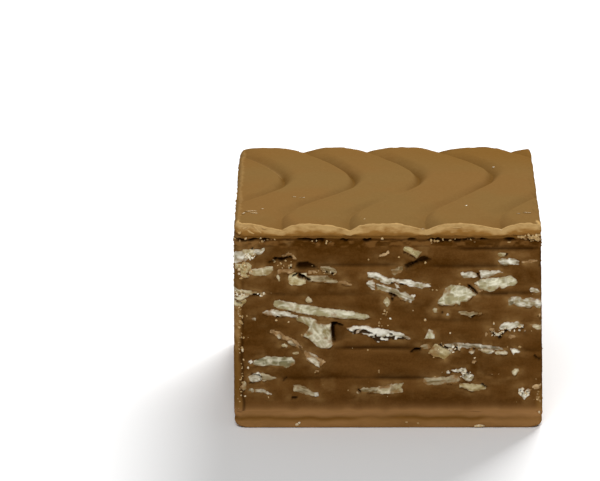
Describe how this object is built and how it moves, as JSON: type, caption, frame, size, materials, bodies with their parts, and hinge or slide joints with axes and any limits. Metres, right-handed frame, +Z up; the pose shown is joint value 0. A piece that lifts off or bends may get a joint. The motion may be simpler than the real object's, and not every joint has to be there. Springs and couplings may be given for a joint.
{
  "type": "praline",
  "caption": "Square knife-cut chocolate praline: thin milk chocolate base, layered nougat filling with crisp flakes, and a combed, wavy milk chocolate top.",
  "frame": {"origin": "middle of the base's underside, on the surface that the praline stands on", "axes": "+Z up through the layers; -Y out of the cut side that faces the viewer; +X to the viewer's right"},
  "size_m": [0.0272, 0.0272, 0.0186],
  "materials": {
    "base_chocolate": "satin milk chocolate, scraped and slightly smeared by the knife",
    "nougat_with_flakes": "dense satin brown nougat with pale, dry, crisp flakes in it",
    "top_chocolate": "satin milk chocolate drawn into waves by a comb"
  },
  "bodies": {
    "root": {"milk_base": "base_chocolate", "praline_filling": "nougat_with_flakes", "combed_top": "top_chocolate"}
  },
  "joints": []
}
